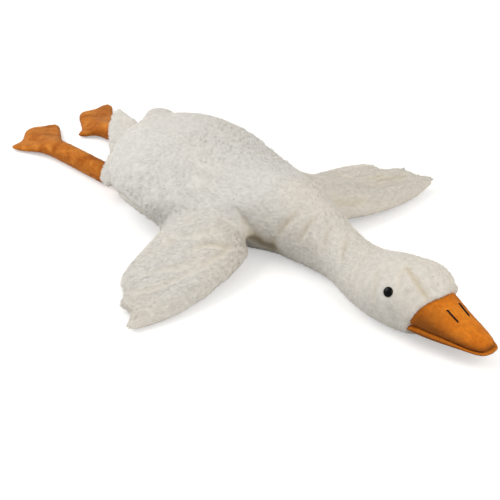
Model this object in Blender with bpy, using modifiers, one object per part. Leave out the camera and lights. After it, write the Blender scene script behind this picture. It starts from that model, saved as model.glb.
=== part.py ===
"""A long stuffed goose that lies on its belly: neck stretched forward, wings spread, legs trailing.

Metres, +Z up. The goose looks along -Y and its left side is +X. The origin is the middle of the
flat patch of belly that it rests on, so the floor is z = 0.
"""
import bpy
import bmesh
from math import cos, pi, radians, sin
from mathutils import Matrix, Vector
from mathutils.bvhtree import BVHTree

COLLECTION_NAME = "plush_goose"
CUTTER_COLLECTION_NAME = "cutters"

SEAM_GAP = 0.0003            # air between the meshes of two pieces that are sewn or pressed together

# Torso, from the rump (+Y) to the shoulders
RUMP_SET_BACK = 0.298        # end of the rump behind the origin
TORSO_LENGTH = 0.458         # rump to shoulders
TORSO_WIDTH = 0.342
TORSO_HEIGHT = 0.172
TORSO_SWAY = -0.010          # the stuffed torso bows this far to the goose's left
RUMP_SWAY = 0.004            # and the rump this far
RUMP_LIFT = 0.040            # underside of the rump's end above the floor
SHOULDER_WIDTH = 0.158       # between the wings, where the neck leaves the torso
SHOULDER_HEIGHT = 0.156

# Neck and head, one cover with the torso
NECK_LENGTH = 0.215          # shoulders to nape
NECK_WIDTH = 0.117           # at its thinnest
NECK_HEIGHT = 0.100
NECK_SWAY = 0.013            # the stuffed neck bows this far to the goose's left
HEAD_LENGTH = 0.202          # nape to the top of the bill seam
HEAD_WIDTH = 0.150
HEAD_HEIGHT = 0.126
HEAD_SWAY = 0.021            # and the head this far to its right
NECK_CREASE_DEPTH = 0.0045   # folds across the neck where the stuffing gives
NECK_CREASE_WIDTH = 0.010    # half of a fold's width
NECK_CREASES = [(0.32, 0.10), (0.56, 0.12), (0.86, 0.05), (1.10, 0.08)]   # share of the neck, slant
SHOULDER_FOLD_DEPTH = 0.012  # the deep fold between neck and wing
SHOULDER_FOLD_WIDTH = 0.030  # half of its width
SHOULDER_FOLD_BACK = 0.006   # its middle behind the shoulders
SHOULDER_FOLD_START = 0.3    # share of the body's half width where it starts

# Bill
BILL_SEAM_WIDTH = 0.118
BILL_SEAM_HEIGHT = 0.100
BILL_SEAM_LEAN = 0.38        # how far the seam runs back for each metre that it drops
BILL_SEAM_BOW = 0.019        # how far the seam's middle stands ahead of its sides
BILL_LENGTH = 0.103          # from the top of the seam to the tip
BILL_TIP_TOP = 0.050
BILL_SWAY = -0.002           # how far the bill's tip stands to the left of its root
BILL_TUCK = 0.012            # how far the bill's root runs into the head's front
MOUTH_HEIGHT = 0.039         # height of the mouth seam at the corner
MOUTH_TIP_HEIGHT = 0.033
LOWER_BILL_HEIGHT = 0.016    # underside of the bill above the floor at its root
LOWER_BILL_TIP_HEIGHT = 0.025
LOWER_BILL_TIP_RISE = 0.003  # and it rises this much more round the tip
LIP_WIDTH = 0.0025           # the lower bill stands out this far beyond the upper one on each side
LIP_AHEAD = 0.006            # and this far at the tip
LIP_RISE = 0.003             # its rim stands this high above the mouth
LIP_START = 0.15             # share of the bill's length where the lip has its full width

# Eyes: a domed button on a shank, held by a lock washer inside the head
EYE_DIAMETER = 0.018
EYE_DOME_HEIGHT = 0.0065
EYE_RIM_HEIGHT = 0.0015
EYE_SEAT_DEPTH = 0.0025
EYE_FROM_SEAM = 0.0815       # behind the top of the bill seam
EYE_HEIGHT = 0.734           # centre above the floor, as a share of the head's height
SHANK_DIAMETER = 0.005
SHANK_PAST_WASHER = 0.006    # how far the shank stands out of the washer inside the head
WASHER_DIAMETER = 0.018
WASHER_THICKNESS = 0.002
WASHER_DEPTH = 0.006         # from the eye's back to the washer

TURNED_SIDES = 16            # facets round the eyes and washers

# Nostrils: one long black stitch on each side of the bill's ridge
STITCH_LENGTH = 0.025
STITCH_THICKNESS = 0.0018
STITCH_SPACING = 0.030       # between the two stitches
STITCH_FROM_SEAM = 0.012     # front of the top of the bill seam to the stitch's near end
STITCH_TOE_IN = 2.0          # degrees, the stitches close towards the tip
STITCH_PARTS = 6             # straight parts that a stitch bends over the bill in

# Wings: three-lobed pads, sewn into the sides at the shoulders
WING_ROOT_BACK = 0.100       # middle of the wing root behind the shoulders
WING_ROOT_OUT = 0.585        # and out from the middle line, as a share of the torso's half width
WING_SPAN = 0.336            # root to tip
WING_LEAD = 0.145            # root middle to the leading edge
WING_TRAIL = 0.130           # root middle to the trailing edge
WING_ROOT_HEIGHT = 0.092     # middle of the pad where it is sewn in
WING_THICKNESS = 0.046
WING_EDGE_HEIGHT = 0.010     # middle of the pad along its edge
WING_CHANNEL = 0.50          # share of the thickness left in the channels between the lobes
WING_TAPER = 0.62            # share of the thickness lost towards the edge
WING_FALL = 1.7              # how steeply the pad falls from its root, 1 is straight
LEFT_WING_SWEEP = 9.5        # degrees that the left wing lies further back than the right
LEFT_LOBE_CURL = 0.055       # how far the left wing's trailing lobes curl up
RIGHT_LOBE_CURL = 0.004
LOBE_LEAN_FORWARD = 0.62     # how far a curled lobe leans forward for each metre that it curls up
LOBE_LEAN_OUT = 0.31         # and how far towards the wing's tip

# Tail: a three-lobed pad sewn across the rump
TAIL_TUCK = 0.128            # middle of the tail's root ahead of the rump's end
TAIL_LENGTH = 0.238          # root to the end of the middle lobe
TAIL_WIDTH = 0.268
TAIL_THICKNESS = 0.034
TAIL_TAPER = 0.55            # share of the thickness lost towards the edge
TAIL_LIFT = 0.065            # how far the middle lobe curls up
TAIL_LIFT_REACH = 0.45       # share of the tail's half width over which it does

# Legs and feet: one pad each, with three toes and webs
LEG_SPACING = 0.146          # between the two legs' middle lines
LEG_TUCK = 0.083             # hip ahead of the rump's end
LEG_LENGTH = 0.320           # hip to ankle
LEG_DIAMETER = 0.046
ANKLE_DIAMETER = 0.042
FOOT_LENGTH = 0.128          # ankle to the end of the middle toe
FOOT_THICKNESS = 0.024
WEB_SHARE = 0.62             # share of the foot's thickness left in the webs

RIM_HEIGHT = 0.002           # the lowest that a pad's rim, where its two faces meet, lies above the floor

# Where the body's parts meet along Y
SHOULDER_PLACE = RUMP_SET_BACK - TORSO_LENGTH
NAPE_PLACE = SHOULDER_PLACE - NECK_LENGTH
SEAM_PLACE = NAPE_PLACE - HEAD_LENGTH      # the top of the bill seam

# Section of the stuffed body, as shares of half width and of height: round above, flat below
SECTION = [(cos(pi * i / 8), 0.5 + 0.5 * sin(pi * i / 8) ** 0.95) for i in range(9)]
SECTION += [(-0.90, 0.23), (-0.61, 0.055), (-0.33, 0.0), (-0.11, 0.0),
            (0.11, 0.0), (0.33, 0.0), (0.61, 0.055), (0.90, 0.23)]
CAGE_GROWTH = 1.022          # a subdivided ring of this many points ends up smaller by this much

WHITE = (0.68, 0.66, 0.61)
ORANGE = (0.45, 0.14, 0.015)
BLACK = (0.004, 0.004, 0.004)
CLEAR_PLASTIC = (0.55, 0.55, 0.53)


def clear_scene():
    for obj in list(bpy.data.objects):
        bpy.data.objects.remove(obj, do_unlink=True)


def make_collection(name):
    group = bpy.data.collections.new(name)
    bpy.context.scene.collection.children.link(group)
    return group


def make_material(name, colour, roughness):
    material = bpy.data.materials.new(name)
    material.use_nodes = True
    shader = material.node_tree.nodes["Principled BSDF"]
    shader.inputs["Base Color"].default_value = (*colour, 1.0)
    shader.inputs["Roughness"].default_value = roughness
    shader.inputs["Metallic"].default_value = 0.0
    return material


def add_object(name, mesh, group, material=None):
    obj = bpy.data.objects.new(name, mesh)
    group.objects.link(obj)
    if material:
        mesh.materials.append(material)
    return obj


def mesh_from(name, points, faces, creased=()):
    """A closed cage with its normals out; the edges between the creased points stay sharp."""
    cage = bmesh.new()
    corners = [cage.verts.new(point) for point in points]
    for face in faces:
        cage.faces.new([corners[i] for i in face])
    bmesh.ops.recalc_face_normals(cage, faces=cage.faces)
    sharp = cage.edges.layers.float.new("crease_edge")
    creased = set(creased)
    cage.verts.index_update()
    for edge in cage.edges:
        if all(corner.index in creased for corner in edge.verts):
            edge[sharp] = 1.0
    mesh = bpy.data.meshes.new(name)
    cage.to_mesh(mesh)
    cage.free()
    mesh.shade_smooth()
    return mesh


def subdivide(obj):
    """Round the cage, then fix its triangles, so that a clearance made from it has the same ones."""
    modifier = obj.modifiers.new("soft_form", "SUBSURF")
    modifier.levels = 1
    modifier.render_levels = 1
    obj.modifiers.new("facets", "TRIANGULATE")


def evaluated_mesh(obj):
    bpy.context.view_layer.update()
    graph = bpy.context.evaluated_depsgraph_get()
    return bpy.data.meshes.new_from_object(obj.evaluated_get(graph))


def cut(obj, cutter):
    modifier = obj.modifiers.new("cut_" + cutter.name, "BOOLEAN")
    modifier.operation = "DIFFERENCE"
    modifier.solver = "EXACT"
    modifier.object = cutter


def make_cutter(name, mesh, group):
    cutter = add_object(name, mesh, group)
    cutter.hide_render = True
    cutter.display_type = "WIRE"
    return cutter


def clearance_of(obj, group):
    """A cutter that is the object's own form, grown by the seam gap."""
    cutter = make_cutter(obj.name + "_clearance", evaluated_mesh(obj), group)
    grow = cutter.modifiers.new("grow", "DISPLACE")
    grow.strength = SEAM_GAP
    grow.mid_level = 0.0
    return cutter


def along(rows, place):
    """A smooth value of each column of rows at this place; the first column is the place."""
    last = len(rows) - 1
    i = max(j for j in range(last) if j == 0 or rows[j][0] >= place) if rows[0][0] > rows[last][0] \
        else max(j for j in range(last) if j == 0 or rows[j][0] <= place)
    before, start, end, after = (rows[min(max(i + step, 0), last)] for step in (-1, 0, 1, 2))
    share = (place - start[0]) / (end[0] - start[0])
    values = []
    for column in range(1, len(start)):
        span = end[0] - start[0]
        slope_in = (end[column] - before[column]) / (end[0] - before[0]) * span
        slope_out = (after[column] - start[column]) / (after[0] - start[0]) * span
        values.append((2 * share ** 3 - 3 * share ** 2 + 1) * start[column]
                      + (share ** 3 - 2 * share ** 2 + share) * slope_in
                      + (3 * share ** 2 - 2 * share ** 3) * end[column]
                      + (share ** 3 - share ** 2) * slope_out)
    return values


def neck(share):
    return SHOULDER_PLACE - share * NECK_LENGTH


def body_rows():
    """Place along Y, side shift, half width, height, lift off the floor, lean and bow of the sections."""
    rump, shoulder, nape = RUMP_SET_BACK, SHOULDER_PLACE, NAPE_PLACE
    half = TORSO_WIDTH / 2
    return [
        (rump, RUMP_SWAY, 0.25 * half, 0.70 * TORSO_HEIGHT, RUMP_LIFT, 0.0, 0.0),
        (rump - 0.04 * TORSO_LENGTH, RUMP_SWAY, 0.51 * half, 0.86 * TORSO_HEIGHT, 0.55 * RUMP_LIFT, 0.0, 0.0),
        (rump - 0.10 * TORSO_LENGTH, RUMP_SWAY, 0.725 * half, 0.95 * TORSO_HEIGHT, 0.20 * RUMP_LIFT, 0.0,
         0.0),
        (rump - 0.20 * TORSO_LENGTH, 0.5 * RUMP_SWAY, 0.93 * half, TORSO_HEIGHT, 0.0, 0.0, 0.0),
        (rump - 0.38 * TORSO_LENGTH, 0.9 * TORSO_SWAY, 1.01 * half, TORSO_HEIGHT, 0.0, 0.0, 0.0),
        (rump - 0.60 * TORSO_LENGTH, TORSO_SWAY, 0.955 * half, 0.90 * TORSO_HEIGHT, 0.0, 0.0, 0.0),
        (rump - 0.82 * TORSO_LENGTH, 0.25 * NECK_SWAY, 0.69 * half, 0.90 * TORSO_HEIGHT, 0.0, 0.0, 0.0),
        (shoulder, NECK_SWAY, SHOULDER_WIDTH / 2, SHOULDER_HEIGHT, 0.0, 0.0, 0.0),
        (neck(0.35), NECK_SWAY, 0.51 * NECK_WIDTH, 0.88 * SHOULDER_HEIGHT, 0.0, 0.0, 0.0),
        (neck(0.67), 0.6 * NECK_SWAY, 0.4525 * NECK_WIDTH, 1.01 * NECK_HEIGHT, 0.0, 0.0, 0.0),
        (nape, -0.4 * HEAD_SWAY, 0.43 * HEAD_WIDTH, 0.98 * NECK_HEIGHT, 0.0, 0.02, 0.0),
        (nape - 0.36 * HEAD_LENGTH, -HEAD_SWAY, 0.485 * HEAD_WIDTH, 0.98 * HEAD_HEIGHT, 0.0, 0.08,
         0.1 * BILL_SEAM_BOW),
        (nape - 0.58 * HEAD_LENGTH, -HEAD_SWAY, 0.98 * HEAD_WIDTH / 2, HEAD_HEIGHT, 0.0, 0.18,
         0.3 * BILL_SEAM_BOW),
        (nape - 0.80 * HEAD_LENGTH, -HEAD_SWAY, 0.95 * HEAD_WIDTH / 2, 0.95 * HEAD_HEIGHT, 0.0, 0.28,
         0.6 * BILL_SEAM_BOW),
        (SEAM_PLACE, -HEAD_SWAY, BILL_SEAM_WIDTH / 2, BILL_SEAM_HEIGHT, RIM_HEIGHT, BILL_SEAM_LEAN,
         BILL_SEAM_BOW),
    ]


def crease(place, side, up):
    """How far the cover is drawn in here, as a share of its half width: the folds of the neck."""
    depth = 0.0
    for share, slant in NECK_CREASES:
        middle = neck(share) + slant * side * NECK_WIDTH
        depth += NECK_CREASE_DEPTH * max(0.0, 1 - ((place - middle) / NECK_CREASE_WIDTH) ** 2) * up
    away = (place - SHOULDER_PLACE - SHOULDER_FOLD_BACK) / SHOULDER_FOLD_WIDTH
    return depth + SHOULDER_FOLD_DEPTH * max(0.0, 1 - away ** 2) * max(0.0, abs(side) - SHOULDER_FOLD_START)


def seam_bow(side):
    """How far the bill seam has come round to the side of the head here: 0 on top, 1 at the cheek."""
    return min(1.0, abs(side) / 0.65) ** 1.6


def ring_places():
    """Where the cage's rings stand: close together in the folded neck, wide apart on the back."""
    places = [RUMP_SET_BACK - TORSO_LENGTH * share for share in (0.0, 0.03, 0.07)]
    places += [RUMP_SET_BACK - TORSO_LENGTH * (0.07 + 0.93 * i / 9) for i in range(1, 10)]
    places += [neck(i / 10) for i in range(1, 11)]
    return places + [NAPE_PLACE - HEAD_LENGTH * i / 7 for i in range(1, 8)]


def body_ring(place, rows, grow):
    shift, half, height, lift, lean, bow = along(rows, place)
    ring = []
    for side, up in SECTION:
        fold = crease(place, side, up)
        x = shift + side * (half * grow - fold)
        z = lift + up * (height * (1 + (grow - 1) * 0.5) - lift - fold)
        back = lean * (height - z) + bow * seam_bow(side)
        ring.append(Vector((x, place + back, z)))
    return ring


def tube_faces(ring_count, count):
    """The faces of a closed tube of rings of this many points, with a cap at each end."""
    faces = []
    for start in range(0, (ring_count - 1) * count, count):
        for i in range(count):
            j = (i + 1) % count
            faces.append((start + i, start + j, start + count + j, start + count + i))
    last = (ring_count - 1) * count
    return faces + [tuple(range(count)), tuple(range(last, last + count))]


def make_body(group, material):
    rows = body_rows()
    places = ring_places()
    points = []
    for place in places[:-1]:
        points += body_ring(place, rows, CAGE_GROWTH)
    points += body_ring(places[-1], rows, 1.0)
    faces = tube_faces(len(places), len(SECTION))
    mesh = mesh_from("goose_body", points, faces, creased=faces[-1])
    body = add_object("goose_body", mesh, group, material)
    subdivide(body)
    return body


def fan_pad(name, ribs, group, material):
    """A stuffed pad from ribs that run from its root to its edge.

    Each rib is a row of (point, half thickness). The first and last ribs and every rib's last point
    are the pad's rim, where its two faces meet. Nothing of it goes below the floor.
    """
    rib_count, step_count = len(ribs), len(ribs[0])
    points, top, bottom = [], {}, {}
    for k, rib in enumerate(ribs):
        for j, (point, half) in enumerate(rib):
            top[k, j] = bottom[k, j] = len(points)
            if k in (0, rib_count - 1) or j == step_count - 1:
                points.append(Vector((point[0], point[1], max(point[2], RIM_HEIGHT))))
                continue
            points.append(Vector((point[0], point[1], max(point[2] + half, 2 * RIM_HEIGHT))))
            bottom[k, j] = len(points)
            points.append(Vector((point[0], point[1], max(point[2] - half, 0.0))))
    faces = []
    for k in range(rib_count - 1):
        for j in range(step_count - 1):
            corners = [(k, j), (k + 1, j), (k + 1, j + 1), (k, j + 1)]
            faces.append(tuple(top[c] for c in corners))
            faces.append(tuple(bottom[c] for c in reversed(corners)))
        root = [top[k, 0], top[k + 1, 0], bottom[k + 1, 0], bottom[k, 0]]
        faces.append(tuple(dict.fromkeys(root)))
    pad = add_object(name, mesh_from(name, points, faces), group, material)
    subdivide(pad)
    return pad


# The wing's ribs, front to back: where each starts on the root and ends on the edge, as shares of
# span and of lead (ahead) or trail (behind), how far it bows ahead, how full the pad is there, how
# high its root stands as a share of the wing root's height, and its share of the lobes' curl
WING_RIBS = [
    (-0.09, -0.68, 0.925, -1.000, 0.042, 0.0, 0.25, 0.0),
    (-0.07, -0.51, 1.000, -0.940, 0.037, 0.85, 0.54, 0.14),
    (-0.04, -0.33, 0.985, -0.800, 0.026, 1.00, 0.80, 0.40),
    (-0.01, -0.22, 0.895, -0.700, 0.020, WING_CHANNEL, 0.88, 0.36),
    (0.00, -0.11, 0.890, -0.500, 0.014, 0.95, 1.0, 0.60),
    (0.00, 0.00, 0.850, -0.330, 0.009, 0.95, 1.0, 0.68),
    (0.00, 0.11, 0.755, -0.240, 0.004, WING_CHANNEL, 1.0, 0.56),
    (0.00, 0.22, 0.745, -0.030, 0.000, 0.95, 1.0, 0.93),
    (0.00, 0.36, 0.660, 0.200, 0.000, 1.00, 0.94, 0.78),
    (0.00, 0.52, 0.520, 0.410, 0.000, 0.90, 0.74, 0.33),
    (0.00, 0.72, 0.330, 0.580, -0.004, 0.70, 0.47, 0.08),
    (0.00, 1.03, 0.150, 0.850, -0.008, 0.0, 0.28, 0.0),
]
WING_STEPS = [0.0, 0.2, 0.42, 0.64, 0.84, 1.0]


def wing_point(out, back):
    """A point of the wing's plan from shares of its span and of its lead or trail."""
    return Vector((out * WING_SPAN, back * (WING_TRAIL if back > 0 else WING_LEAD), 0))


def wing_ribs(side, sweep, curl):
    turn = Matrix.Rotation(radians(sweep) * side, 3, "Z")
    root = Vector((side * WING_ROOT_OUT * TORSO_WIDTH / 2, SHOULDER_PLACE + WING_ROOT_BACK, 0.0))
    low = WING_EDGE_HEIGHT
    ribs = []
    for start_out, start_back, end_out, end_back, bow, fill, root_share, curl_share in WING_RIBS:
        start = wing_point(start_out, start_back)
        end = wing_point(end_out, end_back)
        rib = []
        for step in WING_STEPS:
            rise = curl * curl_share * step ** 3
            place = start.lerp(end, step)
            place.y -= bow * 4 * step * (1 - step) + LOBE_LEAN_FORWARD * rise
            place.x = side * (place.x + LOBE_LEAN_OUT * rise)
            channel = 1 - (1 - fill) * min(1.0, step / 0.5) if 0 < fill <= WING_CHANNEL else fill
            half = WING_THICKNESS / 2 * channel * (1 - WING_TAPER * step)
            height = low + (WING_ROOT_HEIGHT * root_share - low) * (1 - step) ** WING_FALL + rise
            place = root + turn @ place
            rib.append(((place.x, place.y, height), half))
        ribs.append(rib)
    return ribs


# The tail's ribs from the goose's right to its left: root point, edge point and fill. The points are
# in shares of the tail's half width, of its length and of the torso's height
TAIL_RIBS = [
    ((-0.79, -0.042, 0.337), (-0.948, 0.319, 0.105), 0.0),
    ((-0.70, -0.025, 0.477), (-1.000, 0.471, 0.174), 0.90),
    ((-0.60, 0.000, 0.581), (-0.866, 0.588, 0.279), 1.00),
    ((-0.46, 0.025, 0.686), (-0.552, 0.605, 0.430), 0.50),
    ((-0.31, 0.034, 0.733), (-0.358, 0.857, 0.491), 0.95),
    ((-0.13, 0.042, 0.756), (-0.104, 0.975, 0.475), 1.00),
    ((0.03, 0.042, 0.767), (0.190, 0.970, 0.700), 0.95),
    ((0.19, 0.042, 0.744), (-0.050, 0.600, 0.250), 0.50),
    ((0.36, 0.042, 0.721), (0.485, 0.914, 0.744), 0.95),
    ((0.49, 0.034, 0.651), (0.821, 0.849, 0.721), 1.00),
    ((0.61, 0.017, 0.535), (0.970, 0.672, 0.616), 0.90),
    ((0.73, -0.017, 0.395), (0.970, 0.445, 0.488), 0.0),
]
TAIL_STEPS = [0.0, 0.25, 0.5, 0.7, 0.87, 1.0]


def tail_ribs():
    ribs = []
    root = Vector((0, RUMP_SET_BACK - TAIL_TUCK, 0))
    size = Vector((TAIL_WIDTH / 2, TAIL_LENGTH, TORSO_HEIGHT))
    for root_share, edge_share, fill in TAIL_RIBS:
        start = root + size * Vector(root_share)
        end = root + size * Vector(edge_share)
        middle = max(0.0, 1 - abs(edge_share[0]) / TAIL_LIFT_REACH)
        rib = []
        for step in TAIL_STEPS:
            place = start.lerp(end, step)
            place.z += TAIL_LIFT * middle * step ** 4
            rib.append((tuple(place), TAIL_THICKNESS / 2 * fill * (1 - TAIL_TAPER * step)))
        ribs.append(rib)
    return ribs


# The foot's ribs from the goose's right to its left: degrees to the left of straight back,
# reach as a share of the foot's length, fill, and how far the ankle spreads there into the web, as
# a share of its radius
RIGHT_FOOT = [(-46, 0.60, 0.0, 0.40), (-36, 0.88, 1.0, 0.30), (-20, 0.72, WEB_SHARE, 0.2),
              (-4, 0.84, 0.9, 0.0), (7, 1.15, 1.0, 0.0), (18, 1.25, 1.0, 0.0), (28, 1.19, WEB_SHARE, 0.1),
              (38, 1.36, 1.0, 0.35), (46, 1.02, 0.0, 0.60)]
LEFT_FOOT = [(-68, 0.40, 0.0, 0.0), (-56, 0.56, 1.0, 0.0), (-36, 0.44, WEB_SHARE, 0.0),
             (-8, 0.66, 0.9, 0.0), (7, 1.12, 1.0, 0.0), (17, 1.27, 1.0, 0.0), (28, 1.22, WEB_SHARE, 0.0),
             (38, 1.70, 1.0, 0.0), (49, 1.14, 0.0, 0.0)]
WEB_START = 0.86             # share of the leg's length where it starts to spread into the web


def leg_ribs(side, toes):
    ribs = []
    hip = Vector((side * LEG_SPACING / 2, RUMP_SET_BACK - LEG_TUCK, 0))
    ankle = hip + Vector((0, LEG_LENGTH, 0))
    count = len(toes) - 1
    for k, (angle, reach, fill, spread) in enumerate(toes):
        across = -cos(pi * k / count)
        rise = sin(pi * k / count)
        rib = []
        for share in (0.0, 0.45, WEB_START):
            radius = LEG_DIAMETER / 2
            place = hip.lerp(ankle, share)
            rib.append(((place.x + across * radius, place.y, radius), radius * rise))
        radius = ANKLE_DIAMETER / 2
        out = across * radius * (1 + spread)
        rib.append(((ankle.x + out, ankle.y, radius * 0.9), radius * 0.9 * rise))
        toe = Vector((sin(radians(angle)), cos(radians(angle)), 0)) * FOOT_LENGTH * reach
        for share in (0.42, 0.80, 1.0):
            place = ankle + toe * share + Vector((out * (1 - share), 0, 0))
            half = FOOT_THICKNESS / 2 * fill * (1 - 0.35 * share)
            rib.append(((place.x, place.y, FOOT_THICKNESS / 2 * (1.05 - 0.4 * share)), half))
        ribs.append(rib)
    return ribs


def bill_rows():
    """Share of the bill's length, half width, top, mouth height, underside, lean and bow of sections."""
    half, top = BILL_SEAM_WIDTH / 2, BILL_SEAM_HEIGHT
    tip, mouth, mouth_tip = BILL_TIP_TOP, MOUTH_HEIGHT, MOUTH_TIP_HEIGHT
    low, low_tip = LOWER_BILL_HEIGHT, LOWER_BILL_TIP_HEIGHT
    tuck = -BILL_TUCK / BILL_LENGTH
    return [
        (tuck, 0.90 * half, 0.93 * top, mouth, low, BILL_SEAM_LEAN, 1.0),
        (0.0, 0.965 * half, 0.965 * top, mouth, low, BILL_SEAM_LEAN, 1.0),
        (0.20, 0.90 * half, 0.86 * top, mouth, low, 0.34, 0.85),
        (0.42, 0.775 * half, 0.725 * top, 0.83 * mouth + 0.17 * mouth_tip, low, 0.28, 0.6),
        (0.66, 0.63 * half, 1.21 * tip, 0.50 * mouth + 0.50 * mouth_tip, low_tip, 0.14, 0.3),
        (0.86, 0.475 * half, 1.04 * tip, mouth_tip, low_tip, 0.04, 0.1),
        (0.97, 0.28 * half, 0.90 * tip, mouth_tip, low_tip + LOWER_BILL_TIP_RISE, 0.0, 0.0),
    ]


def bill_pad(name, upper, group, material):
    """One half of the bill: a dome over the mouth seam, or the dish under it with its raised lip."""
    points = []
    outline = [(1.0, 0.0)] + [(cos(pi * i / 8), sin(pi * i / 8) ** 0.85) for i in range(1, 8)]
    outline += [(-1.0, 0.0), (-0.5, 0.0), (0.0, 0.0), (0.5, 0.0)]
    rows = bill_rows()
    for row in rows:
        share, half, top, mouth, under, lean, bow = row
        lip = 0.0 if upper else min(1.0, max(0.0, share) / LIP_START)
        base = mouth + SEAM_GAP / 2 if upper else mouth - SEAM_GAP / 2
        reach = top - base if upper else under - base
        front = SEAM_PLACE - share * BILL_LENGTH - lip * LIP_AHEAD * share
        middle = BILL_SWAY * max(0.0, share) - HEAD_SWAY
        for side, up in outline:
            z = base + up * reach
            back = lean * (BILL_SEAM_HEIGHT - z) + bow * BILL_SEAM_BOW * seam_bow(side)
            if abs(side) == 1.0 or (row == rows[-1] and up == 0.0):
                z += lip * LIP_RISE
            points.append(Vector((middle + side * (half + lip * LIP_WIDTH), front + back, z)))
    faces = tube_faces(len(rows), len(outline))
    pad = add_object(name, mesh_from(name, points, faces), group, material)
    subdivide(pad)
    return pad


def turned(name, profile, group, material, place, cutter=False):
    """A solid of revolution about the local Z axis from a profile of (radius, height), top first."""
    mesh = bpy.data.meshes.new(name)
    points = [(radius, 0.0, height) for radius, height in profile]
    mesh.from_pydata(points, [(i, i + 1) for i in range(len(points) - 1)], [])
    obj = make_cutter(name, mesh, group) if cutter else add_object(name, mesh, group, material)
    screw = obj.modifiers.new("turn", "SCREW")
    screw.steps = TURNED_SIDES
    screw.render_steps = TURNED_SIDES
    screw.use_merge_vertices = True
    screw.merge_threshold = 0.00001
    obj.matrix_world = place
    return obj


def surface_hit(tree, origin, direction):
    point, normal, _, _ = tree.ray_cast(origin, direction)
    return point, normal


def seat_matrix(point, normal):
    """A place on a surface with its local Z along the surface's normal."""
    return Matrix.Translation(point) @ normal.to_track_quat("Z", "Y").to_matrix().to_4x4()


def make_eye(side, body, tree, group, cutters, eye_material, washer_material):
    word = "left" if side > 0 else "right"
    height = EYE_HEIGHT * HEAD_HEIGHT
    start = Vector((side * HEAD_WIDTH - HEAD_SWAY, SEAM_PLACE + EYE_FROM_SEAM, height))
    point, normal = surface_hit(tree, start, Vector((-side, 0, 0)))
    place = seat_matrix(point - normal * EYE_SEAT_DEPTH, normal)
    radius = EYE_DIAMETER / 2
    shank = SHANK_DIAMETER / 2
    dome = [(radius * sin(a), EYE_RIM_HEIGHT + EYE_DOME_HEIGHT * cos(a))
            for a in (pi / 2 * i / 5 for i in range(6))]
    dome[0] = (0.0, EYE_RIM_HEIGHT + EYE_DOME_HEIGHT)
    low = -WASHER_DEPTH - WASHER_THICKNESS
    end = low - SHANK_PAST_WASHER
    profile = dome + [(radius, 0.0), (shank, 0.0), (shank, end), (0.0, end)]
    turned(word + "_eye", profile, group, eye_material, place)
    inner = shank + SEAM_GAP
    washer = [(inner, -WASHER_DEPTH), (WASHER_DIAMETER / 2, -WASHER_DEPTH), (WASHER_DIAMETER / 2, low),
              (inner, low), (inner, -WASHER_DEPTH)]
    turned(word + "_eye_washer", washer, group, washer_material, place)
    gap = SEAM_GAP
    hole = [(0.0, EYE_DOME_HEIGHT * 2), (radius + gap, EYE_DOME_HEIGHT * 2), (radius + gap, -gap),
            (shank + gap, -gap), (shank + gap, -WASHER_DEPTH + gap),
            (WASHER_DIAMETER / 2 + gap, -WASHER_DEPTH + gap), (WASHER_DIAMETER / 2 + gap, low - gap),
            (shank + gap, low - gap), (shank + gap, end - gap), (0.0, end - gap)]
    cut(body, turned(word + "_eye_hole", hole, cutters, None, place, cutter=True))


def make_stitch(side, tree, group, material):
    """One long stitch of thick thread that lies on the bill."""
    word = "left" if side > 0 else "right"
    radius = STITCH_THICKNESS / 2
    curve = bpy.data.curves.new(word + "_nostril_stitch", "CURVE")
    curve.dimensions = "3D"
    curve.bevel_depth = radius
    curve.bevel_resolution = 1
    curve.use_fill_caps = True
    spline = curve.splines.new("POLY")
    spline.points.add(STITCH_PARTS)
    for i in range(STITCH_PARTS + 1):
        forward = STITCH_LENGTH * i / STITCH_PARTS
        out = STITCH_SPACING / 2 - forward * sin(radians(STITCH_TOE_IN))
        back = SEAM_PLACE - STITCH_FROM_SEAM - forward
        start = Vector((side * out + BILL_SWAY - HEAD_SWAY, back, 2 * BILL_SEAM_HEIGHT))
        point, normal = surface_hit(tree, start, Vector((0, 0, -1)))
        spline.points[i].co = (*(point + normal * (radius + SEAM_GAP)), 1.0)
    add_object(word + "_nostril_stitch", curve, group, material)


def build():
    clear_scene()
    goose = make_collection(COLLECTION_NAME)
    cutters = make_collection(CUTTER_COLLECTION_NAME)
    white = make_material("white_plush", WHITE, 0.95)
    orange = make_material("orange_plush", ORANGE, 0.9)
    black = make_material("eye_black", BLACK, 0.12)
    thread = make_material("black_thread", BLACK, 0.8)
    plastic = make_material("washer_plastic", CLEAR_PLASTIC, 0.4)

    body = make_body(goose, white)
    head = BVHTree.FromObject(body, bpy.context.evaluated_depsgraph_get())
    body_clearance = clearance_of(body, cutters)

    legs = [fan_pad("right_leg", leg_ribs(-1, RIGHT_FOOT), goose, orange),
            fan_pad("left_leg", leg_ribs(1, LEFT_FOOT), goose, orange)]
    for leg in legs:
        cut(leg, body_clearance)
    leg_clearances = [clearance_of(leg, cutters) for leg in legs]

    wings = [fan_pad("right_wing", wing_ribs(-1, 0.0, RIGHT_LOBE_CURL), goose, white),
             fan_pad("left_wing", wing_ribs(1, LEFT_WING_SWEEP, LEFT_LOBE_CURL), goose, white)]
    for wing in wings:
        cut(wing, body_clearance)

    tail = fan_pad("tail", tail_ribs(), goose, white)
    cut(tail, body_clearance)
    for clearance in leg_clearances:
        cut(tail, clearance)

    upper_bill = bill_pad("upper_bill", True, goose, orange)
    lower_bill = bill_pad("lower_bill", False, goose, orange)
    for pad in (upper_bill, lower_bill):
        cut(pad, body_clearance)
    cut(lower_bill, clearance_of(upper_bill, cutters))
    bill = BVHTree.FromObject(upper_bill, bpy.context.evaluated_depsgraph_get())
    for side in (-1, 1):
        make_eye(side, body, head, goose, cutters, black, plastic)
        make_stitch(side, bill, goose, thread)


build()
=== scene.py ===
import bpy
import bmesh
import math
import numpy as np
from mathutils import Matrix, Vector
from mathutils.bvhtree import BVHTree


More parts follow.
